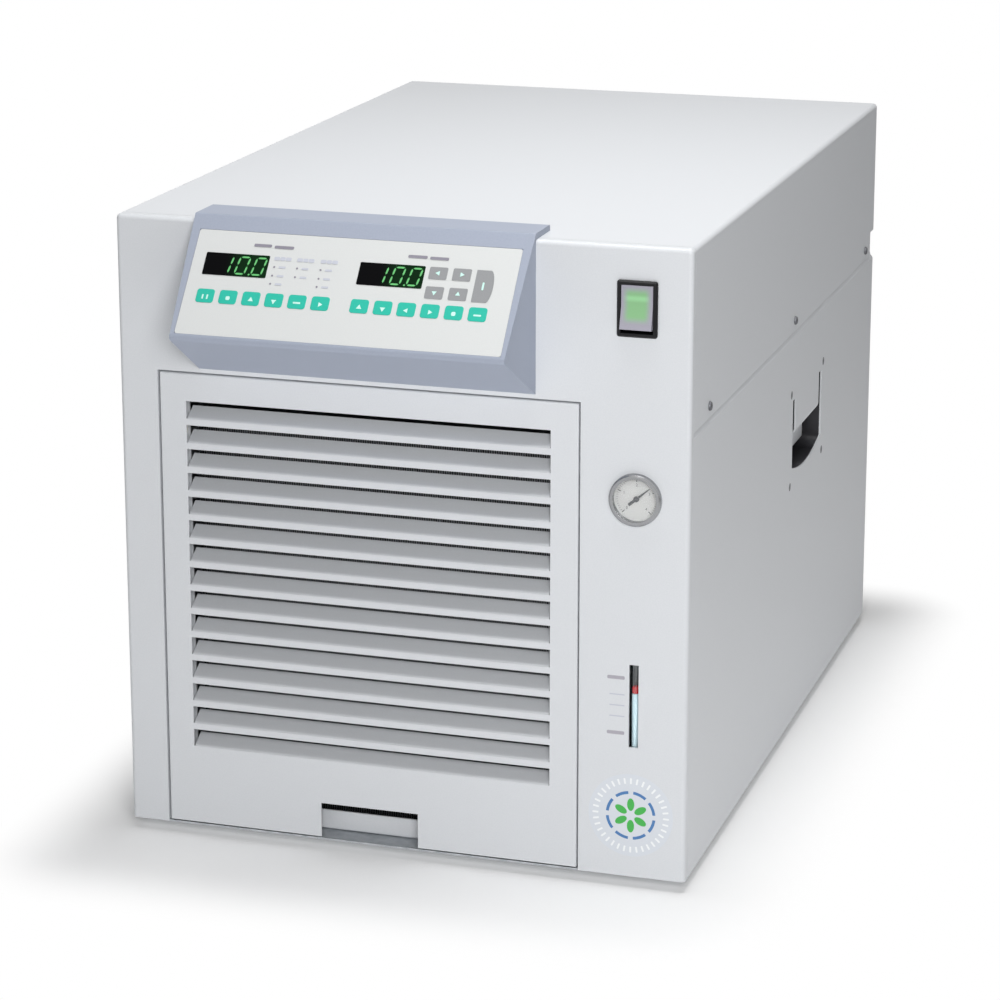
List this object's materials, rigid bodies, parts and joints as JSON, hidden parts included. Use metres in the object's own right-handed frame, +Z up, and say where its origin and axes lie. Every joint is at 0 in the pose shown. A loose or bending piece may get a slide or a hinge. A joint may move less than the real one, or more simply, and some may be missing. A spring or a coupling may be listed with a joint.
{
  "type": "recirculating chiller",
  "caption": "Free-standing recirculating chiller: louvred pull-off grille, sloping keypad console, switch, gauge, level tube, side grips and rear hose ports.",
  "frame": {"origin": "middle of the bounding box, at the undersides of the feet", "axes": "+Z up, -Y out of the grilled front, +X to the right seen from the front"},
  "size_m": [0.5044, 0.8607, 0.555],
  "materials": {
    "cabinet_paint": "fine powder coat, light grey",
    "console_paint": "satin blue-grey lacquer",
    "zinc_steel": "galvanised sheet",
    "screw_steel": "zinc-plated",
    "foot_rubber": "matt",
    "pocket_plastic": "fine-grained moulding",
    "clip_nylon": "natural nylon",
    "keypad_film": "printed polyester film",
    "display_black": "smoked window",
    "board_green": "solder mask",
    "switch_black": "satin",
    "rocker_green": "translucent green",
    "gauge_steel": "pressed cup",
    "bezel_chrome": "bright",
    "window_glass": "clear",
    "dial_white": "matt white",
    "needle_black": "matt black",
    "tube_clear": "clear acrylic",
    "fitting_black": "moulded",
    "float_red": "bright red",
    "water": "clear water",
    "fin_aluminium": "bare fins",
    "fan_black": "moulded",
    "motor_black": "satin black",
    "shaft_steel": "ground",
    "copper_tube": "drawn copper",
    "valve_brass": "machined",
    "stainless": "brushed stainless",
    "hose_rubber": "smooth rubber",
    "port_nickel": "nickel-plated brass",
    "lever_steel": "blue-coated lever",
    "cap_black": "ribbed moulding",
    "winding_core": "varnished laminations",
    "inlet_black": "moulded"
  },
  "bodies": {
    "cabinet": {"base_tray": "zinc_steel", "sill_rail": "cabinet_paint", "rubber_feet": "foot_rubber", "front_frame": "cabinet_paint", "side_panel_left": "cabinet_paint", "side_panel_right": "cabinet_paint", "top_cover": "cabinet_paint", "rear_panel": "cabinet_paint", "cover_screws": "screw_steel", "rear_screws": "screw_steel", "handle_screws": "screw_steel", "handle_shell_left": "pocket_plastic", "handle_shell_right": "pocket_plastic", "grille_clips": "clip_nylon", "console_housing": "console_paint", "keypad_membrane": "keypad_film", "display_modules": "display_black", "control_board": "board_green", "switch_body": "switch_black", "gauge_case": "gauge_steel", "gauge_bezel": "bezel_chrome", "gauge_glass": "window_glass", "gauge_dial": "dial_white", "level_tube": "tube_clear", "level_fittings": "fitting_black", "level_liquid": "water", "condenser_coil": "fin_aluminium", "fan_shroud": "zinc_steel", "fan_bracket": "zinc_steel", "fan_motor": "motor_black", "compressor": "motor_black", "compressor_mounts": "foot_rubber", "filter_drier": "copper_tube", "drier_clamp": "zinc_steel", "refrigerant_pipes": "copper_tube", "expansion_valve": "valve_brass", "plate_exchanger": "stainless", "reservoir": "stainless", "reservoir_lid": "stainless", "pump_head": "stainless", "pump_motor": "motor_black", "water_hoses": "hose_rubber", "filler_hose": "hose_rubber", "hose_ports": "port_nickel", "drain_valve": "port_nickel", "filler_neck": "fitting_black", "electronics_shelf": "zinc_steel", "control_box": "zinc_steel", "transformer": "winding_core", "mains_inlet": "inlet_black", "interface_socket": "shaft_steel"},
    "grille": {"grille_panel": "cabinet_paint", "grille_studs": "screw_steel"},
    "rocker": {"switch_rocker": "rocker_green"},
    "needle": {"gauge_needle": "needle_black"},
    "float": {"level_float": "float_red"},
    "fan": {"fan_rotor": "fan_black", "fan_shaft": "shaft_steel"},
    "drain_handle": {"drain_lever": "lever_steel"},
    "cap": {"filler_cap": "cap_black"}
  },
  "joints": [
    {"name": "grille_pull", "type": "slide", "parent": "cabinet", "child": "grille", "axis": [0, -1, 0], "range_m": [0, 0.12]},
    {"name": "rocker_tilt", "type": "hinge", "parent": "cabinet", "child": "rocker", "pos_m": [0.2045, -0.35241, 0.4987], "axis": [1, 0, 0], "range_deg": [0, 18]},
    {"name": "needle_turn", "type": "hinge", "parent": "cabinet", "child": "needle", "pos_m": [0.2045, -0.35541, 0.3393], "axis": [0, 1, 0], "range_deg": [-185, 85]},
    {"name": "float_rise", "type": "slide", "parent": "cabinet", "child": "float", "axis": [0, 0, 1], "range_m": [-0.037, 0.011], "deforming": ["level_liquid"]},
    {"name": "fan_spin", "type": "hinge", "parent": "cabinet", "child": "fan", "pos_m": [-0.02905, -0.22842, 0.1945], "axis": [0, 1, 0], "continuous": true},
    {"name": "drain_turn", "type": "hinge", "parent": "cabinet", "child": "drain_handle", "pos_m": [0.232, 0.39659, 0.037], "axis": [0, 0, 1], "range_deg": [-90, 0]},
    {"name": "cap_lift", "type": "slide", "parent": "cabinet", "child": "cap", "axis": [0, 0, 1], "range_m": [0, 0.05]}
  ]
}
